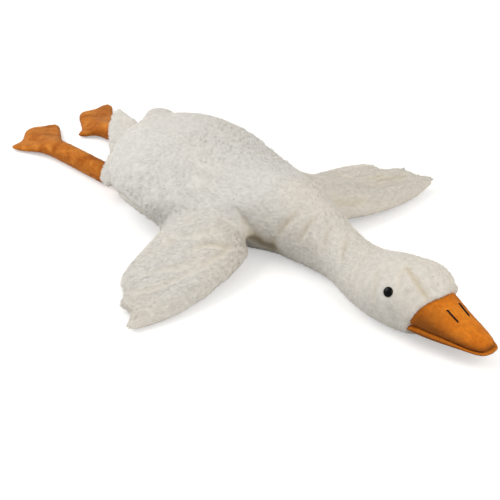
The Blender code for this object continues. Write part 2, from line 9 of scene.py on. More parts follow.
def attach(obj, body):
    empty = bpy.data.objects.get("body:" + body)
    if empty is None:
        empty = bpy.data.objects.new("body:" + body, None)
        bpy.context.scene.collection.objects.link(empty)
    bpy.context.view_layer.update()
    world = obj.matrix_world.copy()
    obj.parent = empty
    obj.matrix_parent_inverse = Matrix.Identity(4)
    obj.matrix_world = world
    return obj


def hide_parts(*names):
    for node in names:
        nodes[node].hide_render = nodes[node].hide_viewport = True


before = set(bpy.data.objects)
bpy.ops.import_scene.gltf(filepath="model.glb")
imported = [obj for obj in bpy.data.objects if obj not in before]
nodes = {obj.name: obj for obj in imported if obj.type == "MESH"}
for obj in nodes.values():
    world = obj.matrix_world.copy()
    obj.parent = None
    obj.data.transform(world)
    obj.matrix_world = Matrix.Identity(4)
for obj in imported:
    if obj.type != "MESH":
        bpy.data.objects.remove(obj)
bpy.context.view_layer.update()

scene = bpy.context.scene
weldWithin = 0.00002                 # the CAD nodes are loose triangles: corners so near are one

# the goose looks along -Y, its right wing is at -X and the floor is z = 0

viewpoint = {
    "azimuth": -41.5,                # degrees round from the front
    "elevation": 28.0,
    "distance": 2.65,                # metres from the aim
    "aim": (-0.0435, -0.0987, 0.0),
    "focalPixels": 1370.6,
    "imagePixels": 500,
}


def makeCamera(s):
    turn, rise = math.radians(s["azimuth"]), math.radians(s["elevation"])
    back = Vector((math.sin(turn) * math.cos(rise), -math.cos(turn) * math.cos(rise), math.sin(rise)))
    lens = bpy.data.cameras.new("camera")
    lens.lens = lens.sensor_width * s["focalPixels"] / s["imagePixels"]
    camera = bpy.data.objects.new("camera", lens)
    scene.collection.objects.link(camera)
    camera.location = Vector(s["aim"]) + back * s["distance"]
    camera.rotation_mode = "QUATERNION"
    camera.rotation_quaternion = (-back).to_track_quat("-Z", "Y")
    scene.camera = camera


# node trees are written with these

def newMaterial(name):
    material = bpy.data.materials.new(name)
    material.use_nodes = True
    tree = material.node_tree
    return material, tree, tree.nodes["Principled BSDF"]


def addNode(tree, kind, values=None, **settings):
    node = tree.nodes.new(kind)
    for name, value in settings.items():
        setattr(node, name, value)
    for name, value in (values or {}).items():
        if isinstance(value, bpy.types.NodeSocket):
            tree.links.new(value, node.inputs[name])
        else:
            node.inputs[name].default_value = value
    return node


def mixColours(tree, kind, amount, first, second):
    node = addNode(tree, "ShaderNodeMix", data_type="RGBA", blend_type=kind)
    for socket, value in zip((node.inputs[0], node.inputs[6], node.inputs[7]), (amount, first, second)):
        if isinstance(value, bpy.types.NodeSocket):
            tree.links.new(value, socket)
        else:
            socket.default_value = value
    return node.outputs[2]


def dimmed(tree, colour, share):
    grey = addNode(tree, "ShaderNodeCombineColor", {"Red": share, "Green": share, "Blue": share})
    return mixColours(tree, "MULTIPLY", 1.0, colour, grey.outputs[0])


def noiseOf(tree, place, scale, detail=2.0, **inputs):
    values = {"Vector": place, "Scale": scale, "Detail": detail}
    values.update({name.capitalize(): value for name, value in inputs.items()})
    return addNode(tree, "ShaderNodeTexNoise", values).outputs[0]


def ranged(tree, value, low, high, toLow=0.0, toHigh=1.0):
    return addNode(tree, "ShaderNodeMapRange", {"Value": value, "From Min": low, "From Max": high,
                                                "To Min": toLow, "To Max": toHigh}).outputs[0]


def roughen(tree, shader, height, strength, distance):
    bump = addNode(tree, "ShaderNodeBump", {"Strength": strength, "Distance": distance, "Height": height})
    tree.links.new(bump.outputs[0], shader.inputs["Normal"])


def setSockets(node, values):
    for name, value in values.items():
        node.inputs[name].default_value = value


lighting = {
    "domeStrength": 0.68,            # an even studio dome
    "domeColour": (1.0, 0.990, 0.972),
    # watts, width, place and colour of the two softboxes: behind on the left, and in front
    "softboxes": {
        "keySoftbox": (60.0, 2.6, (-1.5, 1.6, 2.0), (1.0, 1.0, 1.0)),
        "fillSoftbox": (48.0, 2.6, (0.2, -2.7, 1.6), (1.0, 0.975, 0.93)),
    },
    "floorColour": (0.65, 0.645, 0.635),
    "floorGlow": 0.42,               # what the camera sees on top of the lit paper
    "floorRoughness": 0.9,
    "floorSize": 14.0,
}


def makeStudio(s):
    world = bpy.data.worlds.new("studio")
    scene.world = world
    world.use_nodes = True
    tree = world.node_tree
    dome = tree.nodes["Background"]
    setSockets(dome, {"Color": (*s["domeColour"], 1.0), "Strength": s["domeStrength"]})
    white = addNode(tree, "ShaderNodeBackground", {"Color": (1.0, 1.0, 1.0, 1.0), "Strength": 1.0})
    path = addNode(tree, "ShaderNodeLightPath")
    both = addNode(tree, "ShaderNodeMixShader", {0: path.outputs["Is Camera Ray"]})
    tree.links.new(dome.outputs[0], both.inputs[1])
    tree.links.new(white.outputs[0], both.inputs[2])
    tree.links.new(both.outputs[0], tree.nodes["World Output"].inputs["Surface"])
    for name, (watts, width, place, colour) in s["softboxes"].items():
        lamp = bpy.data.lights.new(name, "AREA")
        lamp.shape = "DISK"
        lamp.size = width
        lamp.energy = watts
        lamp.color = colour
        softbox = bpy.data.objects.new(name, lamp)
        scene.collection.objects.link(softbox)
        softbox.location = place
        softbox.rotation_euler = (-Vector(place)).to_track_quat("-Z", "Y").to_euler()
    floorMesh = bmesh.new()
    bmesh.ops.create_grid(floorMesh, x_segments=1, y_segments=1, size=s["floorSize"] / 2)
    floor = objectFrom("studioFloor", floorMesh)
    paper, tree, shader = newMaterial("whitePaper")
    setSockets(shader, {"Base Color": (*s["floorColour"], 1.0), "Roughness": s["floorRoughness"]})
    path = addNode(tree, "ShaderNodeLightPath")
    bright = addNode(tree, "ShaderNodeEmission", {"Color": (1.0, 1.0, 1.0, 1.0), "Strength": s["floorGlow"]})
    lift = addNode(tree, "ShaderNodeAddShader", {0: shader.outputs[0], 1: bright.outputs[0]})
    seen = addNode(tree, "ShaderNodeMixShader", {0: path.outputs["Is Camera Ray"]})
    tree.links.new(shader.outputs[0], seen.inputs[1])
    tree.links.new(lift.outputs[0], seen.inputs[2])
    tree.links.new(seen.outputs[0], tree.nodes["Material Output"].inputs["Surface"])
    floor.data.materials.append(paper)


# meshes

def objectFrom(name, shape):
    mesh = bpy.data.meshes.new(name)
    shape.to_mesh(mesh)
    shape.free()
    piece = bpy.data.objects.new(name, mesh)
    scene.collection.objects.link(piece)
    return piece


def numbersOf(items, name, width, kind=np.float32):
    found = np.empty(len(items) * width, dtype=kind)
    items.foreach_get(name, found)
    return found.reshape(-1, width)


def placesOf(mesh):
    return numbersOf(mesh.vertices, "co", 3).astype(float)


def normalsOf(mesh):
    return numbersOf(mesh.vertex_normals, "vector", 3).astype(float)


def edgesOf(mesh):
    return numbersOf(mesh.edges, "vertices", 2, np.int64)


def searchTree(mesh):
    return BVHTree.FromPolygons([v.co for v in mesh.vertices], [tuple(p.vertices) for p in mesh.polygons])


def setPlaces(mesh, places):
    mesh.vertices.foreach_set("co", places.astype(np.float32).ravel())
    mesh.update()


def unit(vectors):
    return vectors / np.maximum(np.linalg.norm(vectors, axis=1, keepdims=True), 1e-9)


def ramp(values, start, run, least=0.0):
    # from 0 at start to 1 a run further on, and never under least
    return np.clip((values - start) / run, least, 1.0)


def bakedMesh(piece):
    bpy.context.view_layer.update()
    graph = bpy.context.evaluated_depsgraph_get()
    return bpy.data.meshes.new_from_object(piece.evaluated_get(graph))


def relaxed(values, edges, rounds, share):
    # each value is drawn towards the mean of its neighbours'
    if values.ndim == 1:
        return relaxed(values[:, None], edges, rounds, share)[:, 0]
    count = len(values)
    near = np.bincount(edges.ravel(), minlength=count)[:, None]
    for _ in range(rounds):
        total = np.stack([np.bincount(edges[:, 0], values[edges[:, 1], k], count)
                          + np.bincount(edges[:, 1], values[edges[:, 0], k], count)
                          for k in range(values.shape[1])], axis=1)
        values = values + share * (total / near - values)
    return values


def keepLargestShell(mesh):
    shape = bmesh.new()
    shape.from_mesh(mesh)
    left, largest = set(shape.verts), []
    while left:
        shell, edge = [], [left.pop()]
        while edge:
            corner = edge.pop()
            shell.append(corner)
            for link in corner.link_edges:
                other = link.other_vert(corner)
                if other in left:
                    left.remove(other)
                    edge.append(other)
        if len(shell) > len(largest):
            largest = shell
    kept = set(largest)
    bmesh.ops.delete(shape, geom=[v for v in shape.verts if v not in kept], context="VERTS")
    bmesh.ops.recalc_face_normals(shape, faces=shape.faces)
    shape.to_mesh(mesh)
    shape.free()


def remeshedSkin(name, nodeNames, voxel, grow=0.0):
    shape = bmesh.new()
    for nodeName in nodeNames:
        part = bmesh.new()
        part.from_mesh(nodes[nodeName].data)
        bmesh.ops.remove_doubles(part, verts=part.verts, dist=weldWithin)
        part.normal_update()
        for corner in part.verts:
            corner.co += corner.normal * grow
        copy = bpy.data.meshes.new("part")
        part.to_mesh(copy)
        part.free()
        shape.from_mesh(copy)
        bpy.data.meshes.remove(copy)
    piece = objectFrom(name, shape)
    remesh = piece.modifiers.new("remesh", "REMESH")
    remesh.mode = "VOXEL"
    remesh.voxel_size = voxel
    mesh = bakedMesh(piece)
    piece.modifiers.clear()
    piece.data = mesh
    keepLargestShell(mesh)
    mesh.shade_smooth()
    return piece


def insetSkin(mesh, depth, share):
    # share is 1 where the cover lies at its full depth under the pile, less where it meets the bill
    places, normals = placesOf(mesh), normalsOf(mesh)
    inside = searchTree(mesh)
    start, endless, thinShare = 0.0005, 1.0, 0.22    # a thin rim keeps over half of its thickness
    room = np.empty(len(places))
    for i, (place, normal) in enumerate(zip(places, normals)):
        hit = inside.ray_cast(Vector(place - start * normal), Vector(-normal))
        room[i] = hit[3] if hit[0] is not None else endless
    edges = edgesOf(mesh)
    step = relaxed(np.minimum(depth, thinShare * room), edges, 4, 0.5)[:, None] * share
    setPlaces(mesh, relaxed(places - normals * step, edges, 3, 0.5 * share))


def nearestOn(nodeName, places):
    tree = searchTree(nodes[nodeName].data)
    found = [tree.find_nearest(Vector(place)) for place in places]
    return np.array([hit[0] for hit in found]), np.array([hit[3] for hit in found])


def layOnSkin(mesh, folds, parts=4):
    # the lines are drawn down onto the cover
    tree = searchTree(mesh)
    laid = []
    for fold in folds:
        line = np.array(fold["line"])
        steps = np.linspace(0, len(line) - 1, (len(line) - 1) * parts + 1)
        fine = np.stack([np.interp(steps, range(len(line)), line[:, k]) for k in range(3)], axis=1)
        laid.append({**fold, "line": [tuple(tree.find_nearest(Vector(place))[0]) for place in fine]})
    return laid


def lineDistance(places, normals, line):
    # the distance along the surface: what lies along the normal isn't counted, up to a skin's thickness
    farOff, thickness = 9.0, 0.02
    line = np.array(line, float)
    nearest = np.full(len(places), farOff)
    lateral = np.full(len(places), farOff)
    share = np.zeros(len(places))
    runs = np.linalg.norm(np.diff(line, axis=0), axis=1)
    done = np.concatenate([[0.0], np.cumsum(runs)])
    for i in range(len(runs)):
        run = line[i + 1] - line[i]
        t = np.clip(((places - line[i]) @ run) / max(run @ run, 1e-12), 0.0, 1.0)
        off = places - line[i] - t[:, None] * run
        away = np.linalg.norm(off, axis=1)
        closer = away < nearest
        nearest[closer] = away[closer]
        deep = np.minimum(np.abs((off * normals).sum(axis=1)), thickness)
        lateral[closer] = np.sqrt(np.maximum(away ** 2 - deep ** 2, 0.0))[closer]
        share[closer] = ((done[i] + t * runs[i]) / done[-1])[closer]
    return lateral, share


def foldProfile(places, normals, fold, least=0.0):
    away, share = lineDistance(places, normals, fold["line"])
    fade = fold.get("fade", 0.25)
    ends = np.clip(np.minimum(share, 1 - share) / fade, 0.0, 1.0) ** 0.7 if fade else 1.0
    return ends * np.exp(-(away / max(fold["width"], least)) ** 2)


def foldSkin(mesh, folds, least):
    places, normals = placesOf(mesh), normalsOf(mesh)
    shade = np.zeros(len(places))
    moved = places.copy()
    for fold in folds:
        profile = foldProfile(places, normals, fold, least)
        moved -= normals * (fold["depth"] * profile)[:, None]
        shade = np.maximum(shade, fold["shade"] * profile)
    setPlaces(mesh, moved)
    writeAttribute(mesh, "shade", shade)


def writeAttribute(mesh, name, values):
    kind, field = ("FLOAT", "value") if values.ndim == 1 else ("FLOAT_VECTOR", "vector")
    found = mesh.attributes.get(name) or mesh.attributes.new(name, kind, "POINT")
    found.data.foreach_set(field, values.astype(np.float32).ravel())


def readAttribute(mesh, name, width):
    field = "value" if width == 1 else "vector"
    return numbersOf(mesh.attributes[name].data, field, width).astype(float)


def standFor(piece, nodeNames):
    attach(piece, "root")
    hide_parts(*nodeNames)


# stuffing: cloth blown up a little from inside, sewn down along its seams

stuffing = {
    "pressure": 4.0,
    "quality": 4,
    "lastFrame": 20,
    "cap": 0.0045,                   # the farthest that the cover may swell
    "stretch": 12.0,
    "bend": 0.4,
    "seamWidth": 0.006,              # how far on both sides of a fold's line the cover is held
    "seamFade": 1.6,                 # it is free at so many widths from the line
}


def pinSeams(piece, seams, s):
    places, normals = placesOf(piece.data), normalsOf(piece.data)
    held = np.zeros(len(places))
    for line in seams:
        away, _ = lineDistance(places, normals, line)
        held = np.maximum(held, np.clip(s["seamFade"] - away / s["seamWidth"], 0.0, 1.0))
    group = piece.vertex_groups.new(name="sewn")
    for i in np.nonzero(held > 0.02)[0]:
        group.add([int(i)], float(held[i]), "REPLACE")


def stuffPiece(piece, s):
    cloth = piece.modifiers.new("stuffing", "CLOTH")
    cloth.settings.quality = s["quality"]
    cloth.settings.use_pressure = True
    cloth.settings.uniform_pressure_force = s["pressure"]
    cloth.settings.effector_weights.gravity = 0.0
    cloth.settings.tension_stiffness = s["stretch"]
    cloth.settings.compression_stiffness = s["stretch"]
    cloth.settings.bending_stiffness = s["bend"]
    cloth.settings.vertex_group_mass = "sewn"
    cloth.collision_settings.use_collision = False
    cloth.point_cache.frame_start = 1
    cloth.point_cache.frame_end = s["lastFrame"]
    for number in range(1, s["lastFrame"] + 1):
        scene.frame_set(number)
    before, after = placesOf(piece.data), placesOf(bakedMesh(piece))
    piece.modifiers.clear()
    swell = after - before
    size = np.linalg.norm(swell, axis=1, keepdims=True)
    swell *= np.minimum(1.0, s["cap"] / np.maximum(size, 1e-9))
    setPlaces(piece.data, before + relaxed(swell, edgesOf(piece.data), 1, 0.5))
    scene.frame_set(1)


# pile: every tuft is one thin closed spike, laid along the nap

def makePileTree():
    tree = bpy.data.node_groups.new("plushPile", "GeometryNodeTree")
    face = tree.interface
    face.new_socket("Geometry", in_out="INPUT", socket_type="NodeSocketGeometry")
    for name, value in (("Tufts per square metre", 150000.0), ("Length", 0.010), ("Width", 0.0014),
                        ("Lean", 0.40), ("Clump size", 0.008), ("Clump lift", 0.7), ("Stray", 0.8),
                        ("Ripple height", 0.002), ("Sink", 0.0008)):
        face.new_socket(name, in_out="INPUT", socket_type="NodeSocketFloat").default_value = value
    face.new_socket("Clump stretch", in_out="INPUT", socket_type="NodeSocketVector")
    face.new_socket("Seed", in_out="INPUT", socket_type="NodeSocketInt").default_value = 1
    face.new_socket("Material", in_out="INPUT", socket_type="NodeSocketMaterial")
    face.new_socket("Geometry", in_out="OUTPUT", socket_type="NodeSocketGeometry")
    given = addNode(tree, "NodeGroupInput").outputs

    def maths(kind, first, second=0.0):
        return addNode(tree, "ShaderNodeMath", {0: first, 1: second}, operation=kind).outputs[0]

    def vectors(kind, first, second=None, scale=None):
        values = {0: first}
        if second is not None:
            values[1] = second
        if scale is not None:
            values["Scale"] = scale
        node = addNode(tree, "ShaderNodeVectorMath", values, operation=kind)
        return node.outputs["Value"] if kind == "DOT_PRODUCT" else node.outputs["Vector"]

    def attribute(name, kind):
        node = addNode(tree, "GeometryNodeInputNamedAttribute", data_type=kind)
        node.inputs["Name"].default_value = name
        return node.outputs["Attribute"]

    def randomNumber(low, high, shift):
        seed = maths("ADD", given["Seed"], float(shift))
        node = addNode(tree, "FunctionNodeRandomValue", data_type="FLOAT")
        node.inputs[2].default_value = low
        node.inputs[3].default_value = high
        tree.links.new(seed, node.inputs["Seed"])
        return node.outputs[1]

    cover = maths("MULTIPLY", attribute("cover", "FLOAT"), given["Tufts per square metre"])
    spread = addNode(tree, "GeometryNodeDistributePointsOnFaces",
                     {"Mesh": given["Geometry"], "Seed": given["Seed"]}, distribute_method="RANDOM")
    tree.links.new(cover, spread.inputs["Density"])
    normal = spread.outputs["Normal"]
    place = addNode(tree, "GeometryNodeInputPosition").outputs[0]
    comb = attribute("comb", "FLOAT_VECTOR")
    flat = vectors("SUBTRACT", comb, vectors("SCALE", normal, scale=vectors("DOT_PRODUCT", comb, normal)))
    stretched = vectors("MULTIPLY", place, given["Clump stretch"])
    noise = addNode(tree, "ShaderNodeTexNoise", {"Vector": stretched, "Detail": 1.0,
                                                 "Scale": maths("DIVIDE", 1.0, given["Clump size"])})
    clump = maths("SUBTRACT", noise.outputs[0], 0.5)
    swirl = vectors("SCALE", vectors("SUBTRACT", noise.outputs[1], (0.5, 0.5, 0.5)), scale=given["Stray"])
    loose = addNode(tree, "FunctionNodeRandomValue", data_type="FLOAT_VECTOR")
    loose.inputs[0].default_value = (-0.22, -0.22, -0.22)
    loose.inputs[1].default_value = (0.22, 0.22, 0.22)
    tree.links.new(given["Seed"], loose.inputs["Seed"])
    nap = vectors("ADD", vectors("ADD", vectors("NORMALIZE", flat), swirl), loose.outputs[0])
    nap = vectors("SUBTRACT", nap, vectors("SCALE", normal, scale=vectors("DOT_PRODUCT", nap, normal)))
    nap = vectors("NORMALIZE", nap)
    angle = maths("ADD", maths("ADD", given["Lean"], maths("MULTIPLY", clump, given["Clump lift"])),
                  randomNumber(-0.14, 0.14, 3))
    angle = maths("MAXIMUM", angle, 0.10)
    course = vectors("ADD", vectors("SCALE", nap, scale=maths("COSINE", angle)),
                     vectors("SCALE", normal, scale=maths("SINE", angle)))
    points = spread.outputs["Points"]
    for name, value, kind in (("rootNormal", normal, "FLOAT_VECTOR"), ("course", course, "FLOAT_VECTOR"),
                              ("warm", attribute("warm", "FLOAT"), "FLOAT"),
                              ("shade", attribute("shade", "FLOAT"), "FLOAT")):
        values = {"Geometry": points, "Name": name, "Value": value}
        keep = addNode(tree, "GeometryNodeStoreNamedAttribute", values, data_type=kind, domain="POINT")
        points = keep.outputs[0]
    rise = maths("SUBTRACT", maths("MULTIPLY", clump, given["Ripple height"]), given["Sink"])
    moved = addNode(tree, "GeometryNodeSetPosition",
                    {"Geometry": points, "Offset": vectors("SCALE", normal, scale=rise)})
    course = attribute("course", "FLOAT_VECTOR")
    root = attribute("rootNormal", "FLOAT_VECTOR")
    turn = addNode(tree, "FunctionNodeAxesToRotation", {"Primary Axis": course, "Secondary Axis": root},
                   primary_axis="Z", secondary_axis="Y")
    spike = addNode(tree, "GeometryNodeMeshCone", {"Vertices": 3, "Side Segments": 1, "Radius Top": 0.0,
                                                   "Radius Bottom": 0.5, "Depth": 1.0}, fill_type="NGON")
    length = maths("MULTIPLY", maths("MULTIPLY", given["Length"], attribute("pile", "FLOAT")),
                   randomNumber(0.72, 1.12, 7))
    thickness = maths("MULTIPLY", given["Width"], 0.5)
    size = addNode(tree, "ShaderNodeCombineXYZ", {"X": given["Width"], "Y": thickness, "Z": length})
    tufts = addNode(tree, "GeometryNodeInstanceOnPoints",
                    {"Points": moved.outputs[0], "Instance": spike.outputs["Mesh"],
                     "Rotation": turn.outputs[0], "Scale": size.outputs[0]})
    real = addNode(tree, "GeometryNodeRealizeInstances", {"Geometry": tufts.outputs[0]})
    dressed = addNode(tree, "GeometryNodeSetMaterial",
                      {"Geometry": real.outputs[0], "Material": given["Material"]})
    addNode(tree, "NodeGroupOutput", {"Geometry": dressed.outputs[0]})
    return tree


def pileOn(name, skin, tree, material, cover, s, folds=(), ripple=None):
    writeAttribute(skin.data, "cover", cover)
    grower = skin.modifiers.new("pile", "NODES")
    grower.node_group = tree
    sockets = {item.name: item.identifier for item in tree.interface.items_tree if item.in_out == "INPUT"}
    for title, value in s.items():
        grower[sockets[title]] = value
    grower[sockets["Material"]] = material
    mesh = bakedMesh(skin)
    skin.modifiers.remove(grower)
    mesh.name = name
    pile = bpy.data.objects.new(name, mesh)
    scene.collection.objects.link(pile)
    finishPile(mesh, folds, ripple, tuftFinish)
    print(name, len(mesh.polygons), "triangles")
    return pile


tuftFinish = {
    "corners": 4,                    # a spike is three corners at its root and its tip
    "pileSink": 0.35,                # share of a fold's depth that the tufts sink in by
    "trimWidth": 0.0055,             # the least width in which a seam's tufts are cut short
    "underRim": (1.0, 1.0, 0.3),     # past a rim the tufts are lit as if seen from above
    "slopeReach": 0.0008,
    "steepest": 0.8,                 # slope of a ripple's side
    "roundness": 0.30,
    "forward": 0.10,
    "floor": 0.0005,
}


def latticeNoise(places, seed, size=24):
    lattice = np.random.default_rng(seed).random((size, size, size))
    low = np.floor(places).astype(int)
    part = places - low
    part = part * part * (3 - 2 * part)
    total = np.zeros(len(places))
    for corner in ((a, b, c) for a in (0, 1) for b in (0, 1) for c in (0, 1)):
        weight = np.prod(np.where(corner, part, 1 - part), axis=1)
        total += weight * lattice[tuple(((low + corner) % size).T)]
    return total


def rippleAt(places, s):
    cosine, sine = math.cos(math.radians(s["turn"])), math.sin(math.radians(s["turn"]))
    places = places @ np.array([(cosine, -sine, 0.0), (sine, cosine, 0.0), (0.0, 0.0, 1.0)])
    bend = np.stack([latticeNoise(places / s["bendSize"], seed) - 0.5 for seed in (3, 4, 5)], axis=1)
    return latticeNoise((places + s["bend"] * bend) * np.array(s["stretch"]) / s["size"], 6)


def finishPile(mesh, folds, ripple, s):
    corners = s["corners"]
    places = placesOf(mesh).reshape(-1, corners, 3)
    root = readAttribute(mesh, "rootNormal", 3).reshape(-1, corners, 3)[:, 0]
    course = readAttribute(mesh, "course", 3).reshape(-1, corners, 3)[:, 0]
    height = ((places - places[:, :1]) * course[:, None]).sum(axis=2)
    tip = int(np.argmax(height.mean(axis=0)))
    base = places[:, [k for k in range(corners) if k != tip]].mean(axis=1)
    sink, trim = np.zeros(len(base)), np.ones(len(base))
    for fold in folds:
        sink += fold["depth"] * foldProfile(base, root, fold) * fold.get("pileSink", s["pileSink"])
        if "trim" in fold:
            trim *= 1 - fold["trim"] * foldProfile(base, root, fold, s["trimWidth"])
    places[:, tip] = base + (places[:, tip] - base) * trim[:, None]
    places -= (root * sink[:, None])[:, None]
    shade = readAttribute(mesh, "shade", 1).reshape(-1, corners)
    if folds:
        atRoot, atTip = (np.max([fold["shade"] * foldProfile(spot, root, fold) for fold in folds], axis=0)
                         for spot in (base, places[:, tip]))
        shade = np.repeat(atRoot[:, None], corners, axis=1)
        shade[:, tip] = atTip
    facing = root * np.where(root[:, 2:] < 0, s["underRim"], 1.0)
    if ripple:
        along = unit(course - root * (course * root).sum(axis=1, keepdims=True))
        across = np.cross(root, along)
        tips, reach = places[:, tip], s["slopeReach"]
        level = rippleAt(tips, ripple)
        for way in (along, across):
            slope = (rippleAt(tips + reach * way, ripple) - level) * ripple["height"] / reach
            facing = facing - np.clip(slope, -s["steepest"], s["steepest"])[:, None] * way
        places[:, tip] += root * (ripple["height"] * (level - 0.5))[:, None]
        # the ripple's level, which the pile's material turns into painted shade in the hollows
        writeAttribute(mesh, "tuft", np.repeat(level, corners))
    side = unit((places - places.mean(axis=1, keepdims=True)).reshape(-1, 3)).reshape(-1, corners, 3)
    side -= course[:, None] * (side * course[:, None]).sum(axis=2, keepdims=True)
    normal = unit((facing[:, None] + s["roundness"] * side + s["forward"] * course[:, None]).reshape(-1, 3))
    places = places.reshape(-1, 3)
    places[:, 2] = np.maximum(places[:, 2], s["floor"])
    mesh.shade_smooth()
    setPlaces(mesh, places)
    mesh.normals_split_custom_set_from_vertices(normal)
    corner = np.arange(len(places)) % corners
    writeAttribute(mesh, "shade", shade.ravel())
    # the pile's material darkens each tuft towards its root with this, as painted shade
    writeAttribute(mesh, "tip", (corner == tip).astype(float))
    writeBakeCells(mesh, (corner - tip - 1) % corners, corners)
    for name in ("rootNormal", "course"):
        mesh.attributes.remove(mesh.attributes[name])


def writeBakeCells(mesh, corner, corners):
    # each spike has its own small cell of the map, so that a bake gives it its own colour
    loops = numbersOf(mesh.loops, "vertex_index", 1, np.int64)[:, 0]
    across = max(1, math.ceil(math.sqrt(len(mesh.vertices) // corners)))
    cell = loops // corners
    inCell = np.array([(0.15, 0.15), (0.85, 0.15), (0.5, 0.3), (0.5, 0.9)])[corner[loops]]
    place = (np.stack([cell % across, cell // across], axis=1) + inCell) / across
    mesh.uv_layers.new(name="OFBake").data.foreach_set("uv", place.astype(np.float32).ravel())


# cream-white plush: torso, neck, head, wings and tail are one cover here, drawn together at the seams

whitePlush = {
    "light": (0.700, 0.688, 0.655),
    "cream": (0.715, 0.665, 0.590),
    "shadow": (0.42, 0.335, 0.195),  # painted shade in the folds
    "deepShade": (0.10, 0.082, 0.065),    # painted deep shade in the darkest folds, most of all the gap behind the shoulder
    "creamSize": 5.0,                # patches per metre
    "clumpSize": 120.0,
    "fibreSize": 900.0,
    "roughness": 0.95,
    "sheen": 0.15,
}


def plushMaterial(name, s, pile):
    material, tree, shader = newMaterial(name)
    place = addNode(tree, "ShaderNodeTexCoord").outputs["Object"]

    def read(attribute):
        return addNode(tree, "ShaderNodeAttribute", attribute_name=attribute).outputs["Fac"]

    patches = ranged(tree, noiseOf(tree, place, s["creamSize"], 3.0), 0.35, 0.65, -0.3, 0.3)
    warm = addNode(tree, "ShaderNodeMath", {0: patches, 1: read("warm")}, operation="ADD", use_clamp=True)
    colour = mixColours(tree, "MIX", warm.outputs[0], (*s["light"], 1.0), (*s["cream"], 1.0))
    if pile:
        # painted shade: each tuft is darker at its root than at its tip
        first = ranged(tree, read("tip"), 0.0, 1.0, 0.82, 1.04)
        # painted shade: tufts in the ripples' hollows are darker than those on their crests
        second = ranged(tree, read("tuft"), 0.28, 0.72, 0.87, 1.06)
    else:
        # painted shade: the ground under the pile is darkened as if shaded by the tufts, unevenly in clumps;
        # the fibres vary in tone at random
        clumps = noiseOf(tree, place, s["clumpSize"])
        first = ranged(tree, clumps, 0.35, 0.65, 0.74, 0.84)
        second = ranged(tree, noiseOf(tree, place, s["fibreSize"]), 0.3, 0.7, 0.93, 1.04)
        roughen(tree, shader, clumps, 0.35, 0.0012)
    share = addNode(tree, "ShaderNodeMath", {0: first, 1: second}, operation="MULTIPLY")
    colour = dimmed(tree, colour, share.outputs[0])
    # painted shade in the folds, and painted deep shade where they are darkest
    shade = read("shade")
    colour = mixColours(tree, "MIX", shade, colour, (*s["shadow"], 1.0))
    colour = mixColours(tree, "MIX", ranged(tree, shade, 0.45, 0.85, 0.0, 0.8), colour, (*s["deepShade"], 1.0))
    tree.links.new(colour, shader.inputs["Base Color"])
    setSockets(shader, {"Roughness": s["roughness"], "Sheen Weight": s["sheen"], "Sheen Roughness": 0.5,
                        "Sheen Tint": (1.0, 0.98, 0.94, 1.0), "Specular IOR Level": 0.1})
    return material


def lieClear(skin, floor=0.0008):
    places = placesOf(skin.data)
    places[:, 2] = np.maximum(places[:, 2], floor)
    setPlaces(skin.data, places)


def crease(depth, width, shade, line, **more):
    return {"depth": depth, "width": width, "shade": shade, "line": line, **more}
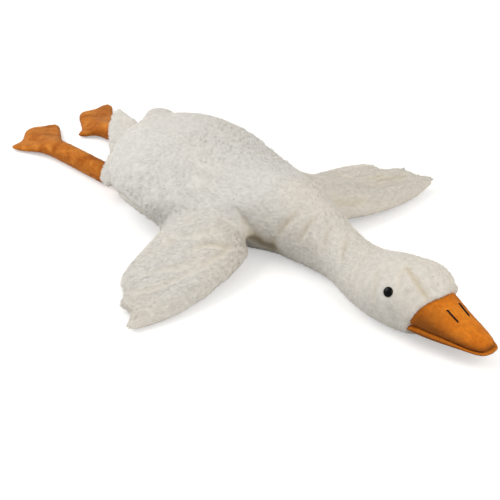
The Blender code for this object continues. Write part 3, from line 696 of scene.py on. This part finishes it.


# depth, width and painted shade of each fold, then the line that it follows

whiteFolds = [
    # the deep gap between neck and wing, darkened with painted shade
    crease(0.006, 0.006, 0.28, [(-0.086, -0.104, 0.110), (-0.088, -0.116, 0.102), (-0.080, -0.132, 0.079),
        (-0.070, -0.142, 0.055)], fade=0.5),
    crease(0.005, 0.019, 0.74, [(-0.072, -0.140, 0.042), (-0.064, -0.150, 0.028),
        (-0.058, -0.166, 0.020)], fade=0.0),
    crease(0.004, 0.009, 0.42, [(-0.056, -0.178, 0.062), (-0.058, -0.170, 0.040),
        (-0.058, -0.166, 0.020)], fade=0.2),
    crease(0.006, 0.008, 0.25, [(0.080, -0.110, 0.110), (0.098, -0.138, 0.085),
        (0.092, -0.148, 0.040)], fade=0.5),
    # wrinkles across the neck
    crease(0.007, 0.0065, 0.46, [(-0.020, -0.222, 0.135), (-0.038, -0.214, 0.118), (-0.050, -0.200, 0.095),
        (-0.055, -0.190, 0.076), (-0.053, -0.178, 0.050)], fade=0.6),
    crease(0.0055, 0.0055, 0.38, [(-0.005, -0.252, 0.125), (-0.030, -0.246, 0.112), (-0.045, -0.239, 0.085),
        (-0.048, -0.227, 0.059)], fade=0.5),
    crease(0.004, 0.0055, 0.26, [(0.012, -0.278, 0.112), (-0.020, -0.284, 0.105), (-0.043, -0.290, 0.085),
        (-0.050, -0.284, 0.065)], fade=0.5),
    crease(0.005, 0.0055, 0.32, [(0.020, -0.305, 0.100), (-0.003, -0.316, 0.098), (-0.043, -0.344, 0.080),
        (-0.055, -0.352, 0.069)], fade=0.5),
    crease(0.003, 0.0055, 0.16, [(0.005, -0.372, 0.100), (-0.035, -0.392, 0.095),
        (-0.062, -0.404, 0.078)], fade=0.5),
    crease(0.003, 0.0055, 0.18, [(-0.062, -0.451, 0.113), (-0.086, -0.466, 0.092), (-0.094, -0.470, 0.069),
        (-0.094, -0.478, 0.062)]),
    # the two seams that let the crown into the head
    crease(0.003, 0.0013, 0.5, [(-0.054, -0.566, 0.090), (-0.052, -0.557, 0.094), (-0.052, -0.542, 0.105),
        (-0.048, -0.526, 0.115), (-0.042, -0.506, 0.121),
        (-0.034, -0.487, 0.124)], fade=0.1, trim=0.6, pileSink=0.6),
    crease(0.003, 0.0019, 0.15, [(0.010, -0.566, 0.090), (0.009, -0.557, 0.094), (0.009, -0.542, 0.105),
        (0.005, -0.526, 0.115), (-0.001, -0.506, 0.121),
        (-0.010, -0.487, 0.124)], fade=0.1, trim=0.6, pileSink=0.6),
    crease(0.0025, 0.0045, 0.1, [(-0.032, -0.483, 0.125), (-0.051, -0.494, 0.120), (-0.065, -0.503, 0.111),
        (-0.078, -0.514, 0.096)], fade=0.3, trim=0.3),
    # low on the flank
    crease(0.004, 0.006, 0.12, [(-0.130, 0.230, 0.040), (-0.175, 0.139, 0.072), (-0.177, 0.113, 0.070),
        (-0.175, 0.078, 0.061), (-0.162, 0.050, 0.040)]),
    # the right wing's channels and creases
    crease(0.004, 0.007, 0.14, [(-0.342, -0.110, 0.022), (-0.314, -0.134, 0.028), (-0.260, -0.150, 0.040),
        (-0.200, -0.160, 0.052)]),
    crease(0.004, 0.007, 0.14, [(-0.300, -0.070, 0.022), (-0.284, -0.086, 0.028), (-0.239, -0.130, 0.042),
        (-0.190, -0.145, 0.060)]),
    crease(0.005, 0.006, 0.26, [(-0.205, -0.112, 0.062), (-0.175, -0.122, 0.070), (-0.156, -0.142, 0.069),
        (-0.122, -0.154, 0.058)]),
    crease(0.004, 0.006, 0.2, [(-0.240, -0.160, 0.045), (-0.205, -0.158, 0.056), (-0.163, -0.157, 0.061),
        (-0.120, -0.150, 0.065)]),
    crease(0.004, 0.006, 0.16, [(-0.198, -0.034, 0.060), (-0.205, -0.046, 0.058), (-0.200, -0.062, 0.062)]),
    crease(0.003, 0.007, 0.08, [(-0.194, -0.042, 0.060), (-0.173, -0.095, 0.075), (-0.130, -0.118, 0.085)]),
    # the far wing's lobes lie over each other: shallow folds with painted shade along their edges
    crease(0.003, 0.0045, 0.42, [(0.250, -0.040, 0.047), (0.265, -0.055, 0.047), (0.278, -0.078, 0.050),
        (0.307, -0.092, 0.047), (0.345, -0.086, 0.045)], fade=0.15),
    crease(0.0015, 0.0045, 0.4, [(0.300, -0.100, 0.046), (0.347, -0.109, 0.040),
        (0.385, -0.116, 0.035)], fade=0.15),
    crease(0.0015, 0.013, 0.16, [(0.240, -0.095, 0.055), (0.270, -0.113, 0.048), (0.330, -0.124, 0.040),
        (0.388, -0.130, 0.034)]),
    crease(0.004, 0.008, 0.26, [(0.130, -0.130, 0.072), (0.150, -0.149, 0.059), (0.185, -0.158, 0.048),
        (0.225, -0.150, 0.046)]),
    crease(0.004, 0.008, 0.16, [(0.223, -0.010, 0.055), (0.191, -0.055, 0.068), (0.160, -0.095, 0.075)]),
    # the tail's two channels
    crease(0.005, 0.007, 0.15, [(-0.070, 0.318, 0.075), (-0.069, 0.290, 0.095),
        (-0.060, 0.258, 0.125)], fade=0.1),
    crease(0.005, 0.007, 0.15, [(-0.004, 0.318, 0.115), (0.010, 0.280, 0.128),
        (0.018, 0.245, 0.145)], fade=0.1),
]

whiteCover = {
    "nodes": ["goose_body", "right_wing", "left_wing", "tail"],
    "voxel": 0.0045,
    "grow": 0.0006,                  # closes the air in the seams before the cover is cut in one
    "inset": 0.0032,
    "insetFrom": 0.002,              # from here on, away from the bill, the inset grows to its full depth
    "insetRun": 0.012,
    "filletReach": 0.024,            # how far the cover is drawn smooth on both sides of a seam
    "filletRounds": 44,
    "rimSharp": 0.0035,              # what stands out so far from the smoothed cover is a rim
    "rimFromBill": 0.02,
    "rimRounds": 20,                 # rounds off the corners of the scallops
    "billSeam": 0.010,               # where the cover lies full on the bill's root
    "underCover": 0.40,              # share of the tufts on faces that look at the floor
    "leastFold": 0.0055,             # the narrowest fold that the cover's faces can hold
    "swellFromBill": 0.02,
    "combToBill": 0.014,             # so near to the bill the tufts are laid towards it
    "firstSeed": 11,
    "fill": 0.7,
    # middle, reach and height of what the filling rounds out, and whether it stands over the bill's root
    "swells": [((0.008, -0.530, 0.112), 0.040, 0.0065, False), ((0.030, -0.520, 0.090), 0.035, 0.0055, False),
               ((0.022, -0.560, 0.078), 0.026, 0.0065, True), ((-0.060, -0.545, 0.075), 0.030, 0.0012, True)],
    "pile": {"Tufts per square metre": 215000.0, "Length": 0.0090, "Width": 0.0015, "Lean": 0.26,
             "Clump size": 0.0065, "Clump lift": 0.45, "Stray": 0.7, "Ripple height": 0.0012,
             "Sink": 0.0008, "Clump stretch": (1.0, 1.0, 1.0)},
    "ripple": {"size": 0.0055, "height": 0.0022, "stretch": (0.7, 1.0, 1.0), "turn": 23.0, "bend": 0.006,
               "bendSize": 0.016},
    # piece name: node, front and rear limits along Y, what differs in its pile and in its ripples
    "regions": {
        "rumpPile": ("goose_body", 0.125, 9.0, {"Length": 0.0078},
                     {"height": 0.0028, "stretch": (0.42, 1.0, 0.7), "size": 0.0058}),
        "backPile": ("goose_body", -0.045, 0.125, {"Length": 0.0072, "Lean": 0.34, "Clump lift": 0.6},
                     {"height": 0.0095, "stretch": (0.36, 1.0, 0.6), "size": 0.0055}),
        "neckPile": ("goose_body", -9.0, -0.045, {"Clump lift": 0.8, "Stray": 1.0},
                     {"height": 0.0030, "size": 0.0052}),
        "rightWingPile": ("right_wing", -9.0, 9.0, {}, {}),
        "leftWingPile": ("left_wing", -9.0, 9.0, {}, {}),
        "tailPile": ("tail", -9.0, 9.0, {}, {}),
    },
    "bare": [((-0.070, 0.308, 0.084), 0.011)],       # deep in the tail's notch there are no tufts
    # how creamy the plush is in each part
    "warmth": {"goose_body": 0.25, "right_wing": 0.75, "left_wing": 0.95, "tail": 0.35},
    "neckWarmth": 0.75,
    "neckFrom": -0.12,               # along Y
    "neckRun": 0.06,
}


def coverShare(mesh, underCover):
    down = np.clip(-normalsOf(mesh)[:, 2] * 2.0 - 0.2, 0.0, 1.0)
    return 1.0 + (underCover - 1.0) * down


def eyeAxis(side):
    places = {}
    for kind in ("eye", "eye_washer"):
        shape = bmesh.new()
        shape.from_mesh(nodes[side + "_" + kind].data)
        bmesh.ops.remove_doubles(shape, verts=shape.verts, dist=weldWithin)
        places[kind] = sum((v.co for v in shape.verts), Vector()) / len(shape.verts)
        shape.free()
    axis = (places["eye"] - places["eye_washer"]).normalized()
    backFromWasher = 0.007           # from the middle of the washer out to the eye's flat back
    return places["eye_washer"] + axis * backFromWasher, axis


def cutWhiteCover(s):
    skin = remeshedSkin("whiteCover", s["nodes"], s["voxel"], s["grow"])
    mesh = skin.data
    places, edges = placesOf(mesh), edgesOf(mesh)
    upperPoint, upperAway = nearestOn("upper_bill", places)
    lowerPoint, lowerAway = nearestOn("lower_bill", places)
    billAway = np.minimum(upperAway, lowerAway)
    toBill = unit(np.where((upperAway < lowerAway)[:, None], upperPoint, lowerPoint) - places)
    insetSkin(mesh, s["inset"], ramp(billAway, s["insetFrom"], s["insetRun"], 0.05)[:, None])
    places = placesOf(mesh)
    away = np.stack([nearestOn(name, places)[1] for name in s["nodes"]])
    owner = np.array(s["nodes"])[away.argmin(axis=0)]
    joined = np.clip(1.5 - np.sort(away, axis=0)[1] / s["filletReach"], 0.0, 1.0)
    places = relaxed(places, edges, s["filletRounds"], 0.5 * joined[:, None])
    sharp = ((places - relaxed(places, edges, 12, 0.5)) * normalsOf(mesh)).sum(axis=1)
    rim = ramp(sharp, 0.0, s["rimSharp"]) * np.clip(billAway / s["rimFromBill"] - 0.5, 0.0, 1.0)
    places = relaxed(places, edges, s["rimRounds"], 0.5 * rim[:, None])
    full = np.clip(1.4 - billAway / s["billSeam"], 0.0, 1.0)[:, None]
    places += full * (nearestOn("goose_body", places)[0] - places)
    setPlaces(mesh, places)
    normals = normalsOf(mesh)
    for middle, reach, height, overBill in s["swells"]:
        off = np.linalg.norm(places - np.array(middle), axis=1)
        rise = height * np.exp(-(off / reach) ** 2)
        rise *= 1.0 if overBill else ramp(billAway, 0.0, s["swellFromBill"])
        places = places + normals * rise[:, None]
    setPlaces(mesh, places)
    return skin, {"owner": owner, "billAway": billAway, "toBill": toBill, "rim": rim}


plushLay = {
    "halfBody": 0.17,                # the body's half width
    "bodyOut": 0.45,                 # how far the pile is laid outwards and down at the body's side
    "bodyDown": -0.35,
    "wingRoot": (0.07, -0.10),       # the wings' pile is laid away from here
    "wingTurn": (0.0, 0.35, -0.1),
    "tailOut": 0.6,
    "tailDown": -0.2,
}


def combCover(places, owner, s):
    comb = np.zeros((len(places), 3))
    back = np.ones(len(places))
    sideways = places[:, 0] / s["halfBody"]
    body = owner == "goose_body"
    comb[body] = np.stack([s["bodyOut"] * sideways, back, s["bodyDown"] * np.abs(sideways)], axis=1)[body]
    for side, name in ((-1, "right_wing"), (1, "left_wing")):
        wing = owner == name
        out = places - np.array([side * s["wingRoot"][0], s["wingRoot"][1], 0.0])
        out[:, 2] = 0.0
        comb[wing] = (unit(out) + np.array(s["wingTurn"]))[wing]
    tail = owner == "tail"
    comb[tail] = np.stack([s["tailOut"] * sideways, back, s["tailDown"] * back], axis=1)[tail]
    return unit(comb)


shortPile = {
    "headFrom": -0.36,               # along Y
    "headRun": 0.08,
    "headShorter": 0.30,             # shares of the length that are cut off
    "rimShorter": 0.62,
    "underRimShorter": 0.60,
    "billRun": 0.016,
    "billLeast": 0.75,
    "eyeFrom": 0.0095,
    "eyeRun": 0.012,
    "eyeLeast": 0.20,
    "eyeClear": 0.0098,              # no tufts so near to the middle of an eye
}


def shortenPile(mesh, near, bare, s):
    places, normals = placesOf(mesh), normalsOf(mesh)
    pile = 1 - s["headShorter"] * ramp(-places[:, 1], -s["headFrom"], s["headRun"])
    rim = near["rim"]
    pile *= (1 - s["rimShorter"] * rim) * (1 - s["underRimShorter"] * rim * ramp(-normals[:, 2], 0.0, 0.4))
    pile *= ramp(near["billAway"], 0.0, s["billRun"], s["billLeast"])
    clear = np.ones(len(places))
    for side in ("right", "left"):
        place, _ = eyeAxis(side)
        away = np.linalg.norm(places - np.array(place), axis=1)
        pile *= ramp(away, s["eyeFrom"], s["eyeRun"], s["eyeLeast"])
        clear *= away > s["eyeClear"]
    for middle, reach in bare:
        clear *= np.linalg.norm(places - np.array(middle), axis=1) > reach
    return pile, clear


def dressWhite(skin, near, tree, ground, pileMaterial, s):
    mesh = skin.data
    folds = layOnSkin(mesh, whiteFolds)
    foldSkin(mesh, folds, s["leastFold"])
    lieClear(skin)
    places = placesOf(mesh)
    edges = edgesOf(mesh)
    owner = near["owner"]
    comb = combCover(places, owner, plushLay)
    comb = np.where((near["billAway"] < s["combToBill"])[:, None], 2.0 * near["toBill"], comb)
    writeAttribute(mesh, "comb", unit(relaxed(comb, edges, 8, 0.5)))
    pile, clear = shortenPile(mesh, near, s["bare"], shortPile)
    writeAttribute(mesh, "pile", pile)
    warm = np.array([s["warmth"][name] for name in owner])
    neck = ramp(-places[:, 1], -s["neckFrom"], s["neckRun"]) * (owner == "goose_body")
    warm += (s["neckWarmth"] - warm) * neck
    writeAttribute(mesh, "warm", relaxed(warm, edges, 20, 0.5))
    mesh.materials.clear()
    mesh.materials.append(ground)
    cover = coverShare(mesh, s["underCover"]) * clear
    for number, (name, (nodeName, front, rear, changes, ripples)) in enumerate(s["regions"].items()):
        share = cover * (owner == nodeName) * (places[:, 1] >= front) * (places[:, 1] < rear)
        pile = {**s["pile"], **changes, "Seed": s["firstSeed"] + number}
        piece = pileOn(name, skin, tree, pileMaterial, share, pile, folds, {**s["ripple"], **ripples})
        standFor(piece, [nodeName])
    standFor(skin, s["nodes"])


# orange velvet-short plush of the legs and the bill

legPlush = {
    "light": (0.590, 0.205, 0.028),
    "deep": (0.330, 0.078, 0.004),
    "shadow": (0.160, 0.045, 0.006),
    "edge": (1.0, 0.72, 0.42),
    "patchSize": 34.0,
    "streakSize": 260.0,
    "streakStretch": (1.0, 0.35, 1.0),
    "fibreSize": 1500.0,
    "sheen": 0.22,
}
billPlush = {**legPlush, "light": (0.670, 0.215, 0.018), "deep": (0.540, 0.145, 0.008), "sheen": 0.10}


def velvetMaterial(name, s):
    material, tree, shader = newMaterial(name)
    place = addNode(tree, "ShaderNodeTexCoord").outputs["Object"]
    patches = noiseOf(tree, place, s["patchSize"], 4.0, roughness=0.62, distortion=0.4)
    colour = mixColours(tree, "MIX", ranged(tree, patches, 0.32, 0.68), (*s["deep"], 1.0), (*s["light"], 1.0))
    laid = addNode(tree, "ShaderNodeMapping", {"Vector": place, "Scale": s["streakStretch"]})
    streaks = noiseOf(tree, laid.outputs[0], s["streakSize"], 3.0, roughness=0.6)
    colour = dimmed(tree, colour, ranged(tree, streaks, 0.3, 0.7, 0.80, 1.12))
    # painted shade, where the piece's shade attribute asks for it
    shade = addNode(tree, "ShaderNodeAttribute", attribute_name="shade")
    colour = mixColours(tree, "MIX", shade.outputs["Fac"], colour, (*s["shadow"], 1.0))
    tree.links.new(colour, shader.inputs["Base Color"])
    fibres = noiseOf(tree, place, s["fibreSize"])
    both = addNode(tree, "ShaderNodeMath", {0: streaks, 1: fibres}, operation="ADD")
    roughen(tree, shader, both.outputs[0], 0.5, 0.0006)
    setSockets(shader, {"Roughness": 0.85, "Sheen Weight": s["sheen"], "Sheen Roughness": 0.35,
                        "Sheen Tint": (*s["edge"], 1.0), "Specular IOR Level": 0.12})
    return material


legCover = {
    "voxel": 0.0035,
    "inset": 0.001,
    "headRun": 0.01,                 # the inset grows to its full depth so far from the white cover
    "tuck": 0.005,                   # how much thinner the leg's root is
    "tuckEnd": 0.335,
    "tuckRun": 0.02,
    "comb": (0.0, 1.0, -0.1),
    "underCover": 0.4,
    "seeds": {"right": 61, "left": 62},
    "fill": 0.7,
    "pile": {"Tufts per square metre": 330000.0, "Length": 0.0034, "Width": 0.0009, "Lean": 0.55,
             "Clump size": 0.012, "Clump lift": 1.0, "Stray": 1.2, "Ripple height": 0.0006,
             "Sink": 0.0004, "Clump stretch": (1.0, 1.0, 1.0)},
}


def tuckRoot(mesh, s):
    # the leg's root stays behind the tail's pile
    places, normals = placesOf(mesh), normalsOf(mesh)
    hidden = ramp(-places[:, 1], -s["tuckEnd"], s["tuckRun"])
    setPlaces(mesh, places - normals * (s["tuck"] * hidden)[:, None])


def readyForPile(skin, comb, material):
    lieClear(skin)
    count = len(skin.data.vertices)
    writeAttribute(skin.data, "comb", np.tile(comb, (count, 1)))
    writeAttribute(skin.data, "pile", np.ones(count))
    skin.data.materials.clear()
    skin.data.materials.append(material)


def dressLeg(skin, word, tree, material, s):
    mesh = skin.data
    writeAttribute(mesh, "shade", np.zeros(len(mesh.vertices)))
    tuckRoot(mesh, s)
    readyForPile(skin, s["comb"], material)
    cover = coverShare(mesh, s["underCover"])
    pile = pileOn(word + "LegPile", skin, tree, material, cover, {**s["pile"], "Seed": s["seeds"][word]})
    for piece in (skin, pile):
        standFor(piece, [word + "_leg"])


billCover = {
    "voxel": 0.0026,
    "inset": 0.0008,
    "headRun": 0.01,
    "sideShade": 0.85,               # painted shade on the bill's sides and underside, darker the less they face up
    "pileEnd": -0.53,                # behind this the bill's root lies under the white cover
    "stitchClear": 0.0035,           # no tufts so near to a nostril's thread
    "comb": (0.0, -1.0, -0.2),
    "underCover": 0.4,
    "seeds": {"upper": 71, "lower": 72},
    "fill": 0.8,
    "pile": {"Tufts per square metre": 420000.0, "Length": 0.0026, "Width": 0.0008, "Lean": 0.45,
             "Clump size": 0.010, "Clump lift": 0.8, "Stray": 1.0, "Ripple height": 0.0004,
             "Sink": 0.0004, "Clump stretch": (1.0, 1.0, 1.0)},
}


def dressBill(skin, word, tree, material, s):
    mesh = skin.data
    up = normalsOf(mesh)[:, 2]
    headAway = nearestOn("goose_body", placesOf(mesh))[1]
    # painted shade: the less a face of the bill looks up, the darker it is, and less so near the head
    shade = s["sideShade"] * ramp(-up, -0.82, 0.5) * ramp(headAway, 0.0, 0.008, 0.35)
    writeAttribute(mesh, "shade", relaxed(shade, edgesOf(mesh), 6, 0.5))
    readyForPile(skin, s["comb"], material)
    places = placesOf(mesh)
    cover = coverShare(mesh, s["underCover"]) * (places[:, 1] < s["pileEnd"])
    for side in ("right", "left"):
        cover *= nearestOn(side + "_nostril_stitch", places)[1] > s["stitchClear"]
    pile = pileOn(word + "BillPile", skin, tree, material, cover, {**s["pile"], "Seed": s["seeds"][word]})
    for piece in (skin, pile):
        standFor(piece, [word + "_bill"])


# rings of corners, and the faces between them

def ringOf(shape, middle, first, second, radius, sides):
    angles = [2 * math.pi * i / sides for i in range(sides)]
    return [shape.verts.new(middle + radius * (math.cos(a) * first + math.sin(a) * second)) for a in angles]


def bridgeRings(shape, rings):
    for a, b in zip(rings, rings[1:]):
        for i in range(len(a)):
            j = (i + 1) % len(a)
            shape.faces.new((a[i], b[i], b[j], a[j]))
    shape.faces.new(list(reversed(rings[-1])))


# eyes

eyeButton = {
    "radius": 0.009,
    "rim": 0.0012,
    "dome": 0.0050,
    "sides": 56,
    "rings": 14,
    "shank": 0.0025,
    "shankLength": 0.012,
    "sunk": 0.0022,                  # drawn into the pile by its shank
}


def makeEye(side, material, s):
    place, axis = eyeAxis(side)
    place = place - axis * s["sunk"]
    turn = axis.to_track_quat("Z", "Y").to_matrix()
    profile = [(s["radius"] * math.sin(a), s["rim"] + s["dome"] * math.cos(a))
               for a in (math.pi / 2 * i / s["rings"] for i in range(1, s["rings"] + 1))]
    profile += [(s["radius"] * 0.985, s["rim"] * 0.3), (s["radius"] * 0.93, 0.0), (s["shank"], 0.0),
                (s["shank"], -s["shankLength"])]
    shape = bmesh.new()
    rings = [ringOf(shape, place + axis * height, turn.col[0], turn.col[1], radius, s["sides"])
             for radius, height in profile]
    bridgeRings(shape, rings)
    top = shape.verts.new(place + axis * (s["rim"] + s["dome"]))
    for i in range(s["sides"]):
        shape.faces.new((top, rings[0][i], rings[0][(i + 1) % s["sides"]]))
    bmesh.ops.recalc_face_normals(shape, faces=shape.faces)
    eye = objectFrom(side + "Eye", shape)
    eye.data.shade_smooth()
    eye.data.materials.append(material)
    standFor(eye, [side + "_eye"])


def glossMaterial():
    material, tree, shader = newMaterial("blackGloss")
    place = addNode(tree, "ShaderNodeTexCoord").outputs["Object"]
    rough = ranged(tree, noiseOf(tree, place, 700.0, 3.0), 0.3, 0.8, 0.06, 0.12)
    tree.links.new(rough, shader.inputs["Roughness"])
    setSockets(shader, {"Base Color": (0.002, 0.002, 0.0025, 1.0), "Specular IOR Level": 0.10})
    return material


def washerMaterial():
    material, tree, shader = newMaterial("milkyPlastic")
    place = addNode(tree, "ShaderNodeTexCoord").outputs["Object"]
    roughen(tree, shader, noiseOf(tree, place, 400.0), 0.1, 0.0003)
    setSockets(shader, {"Base Color": (0.6, 0.6, 0.58, 1.0), "Roughness": 0.4})
    return material


# nostrils: one long stitch of two-ply thread each

nostrilThread = {
    "plyRadius": 0.00095,
    "plyApart": 0.8,                 # how far a ply's middle lies out, as a share of its radius
    "twistPitch": 0.0060,
    "knots": 7,
    "sides": 8,
    "steps": 44,
    "proud": 0.0012,                 # how far the thread's middle lies above the bill
    "dip": 0.004,                    # how deep its ends go in
    "dipRun": 0.35,                  # the share of a knot's spacing in which they go in
}


def makeStitch(side, bill, material, s):
    tree = searchTree(bill)
    places = placesOf(nodes[side + "_nostril_stitch"].data)
    along = np.linspace(places[:, 1].max(), places[:, 1].min(), s["knots"])
    middles = [np.polyval(np.polyfit(places[:, 1], places[:, k], 2), along) for k in range(3)]
    landed = [tree.find_nearest(Vector(knot)) for knot in np.stack(middles, axis=1)]
    knots = np.array([place + normal * s["proud"] for place, normal, _, _ in landed])
    last = s["knots"] - 1
    curve = np.linspace(0, last, s["steps"])
    path = np.stack([np.interp(curve, range(s["knots"]), knots[:, k]) for k in range(3)], axis=1)
    ends = np.minimum(curve, last - curve)
    path[:, 2] -= s["dip"] * np.clip(s["dipRun"] - ends, 0, 1) / s["dipRun"]
    course = unit(np.gradient(path, axis=0))
    out = unit(np.cross(course, [0.0, 0.0, 1.0]))
    up = np.cross(out, course)
    done = np.concatenate([[0], np.cumsum(np.linalg.norm(np.diff(path, axis=0), axis=1))])
    turn = 2 * math.pi * done / s["twistPitch"]
    thread = bmesh.new()
    for ply in (0, math.pi):
        lean = np.cos(turn + ply)[:, None] * out + np.sin(turn + ply)[:, None] * up
        middle = path + s["plyRadius"] * s["plyApart"] * lean
        rings = [ringOf(thread, middle[k], out[k], up[k], s["plyRadius"], s["sides"])
                 for k in range(s["steps"])]
        bridgeRings(thread, rings)
        thread.faces.new(rings[0])
    bmesh.ops.recalc_face_normals(thread, faces=thread.faces)
    stitch = objectFrom(side + "Nostril", thread)
    stitch.data.shade_smooth()
    stitch.data.materials.append(material)
    standFor(stitch, [side + "_nostril_stitch"])


def threadMaterial():
    material, tree, shader = newMaterial("blackThread")
    place = addNode(tree, "ShaderNodeTexCoord").outputs["Object"]
    roughen(tree, shader, noiseOf(tree, place, 2600.0), 0.4, 0.0002)
    setSockets(shader, {"Base Color": (0.006, 0.0055, 0.005, 1.0), "Roughness": 0.6,
                        "Specular IOR Level": 0.15})
    return material


def buildScene():
    scene.view_settings.view_transform = "Standard"
    makeCamera(viewpoint)
    makeStudio(lighting)
    print("studio ready")
    cover, near = cutWhiteCover(whiteCover)
    skins = {}
    for nodeName, name, s in (("right_leg", "rightLegCover", legCover),
                              ("left_leg", "leftLegCover", legCover),
                              ("upper_bill", "upperBillCover", billCover),
                              ("lower_bill", "lowerBillCover", billCover)):
        skin = remeshedSkin(name, [nodeName], s["voxel"])
        headAway = nearestOn("goose_body", placesOf(skin.data))[1]
        insetSkin(skin.data, s["inset"], ramp(headAway, 0.0, s["headRun"], 0.05)[:, None])
        skins[nodeName] = skin
    print("covers cut,", len(cover.data.polygons), "faces in the white one")
    pinSeams(cover, [fold["line"] for fold in layOnSkin(cover.data, whiteFolds)], stuffing)
    stuffPiece(cover, stuffing)
    print("cover stuffed")
    tree = makePileTree()
    ground = plushMaterial("whitePlushGround", whitePlush, False)
    tufts = plushMaterial("whitePlushPile", whitePlush, True)
    dressWhite(cover, near, tree, ground, tufts, whiteCover)
    velvet = velvetMaterial("orangeLegPlush", legPlush)
    for side in ("right", "left"):
        dressLeg(skins[side + "_leg"], side, tree, velvet, legCover)
    velvet = velvetMaterial("orangeBillPlush", billPlush)
    for half in ("upper", "lower"):
        dressBill(skins[half + "_bill"], half, tree, velvet, billCover)
    print("plush laid")
    gloss, thread, plastic = glossMaterial(), threadMaterial(), washerMaterial()
    for side in ("right", "left"):
        makeEye(side, gloss, eyeButton)
        makeStitch(side, skins["upper_bill"].data, thread, nostrilThread)
        for slot in nodes[side + "_eye_washer"].material_slots:
            slot.material = plastic
    print("eyes and nostrils sewn")


buildScene()
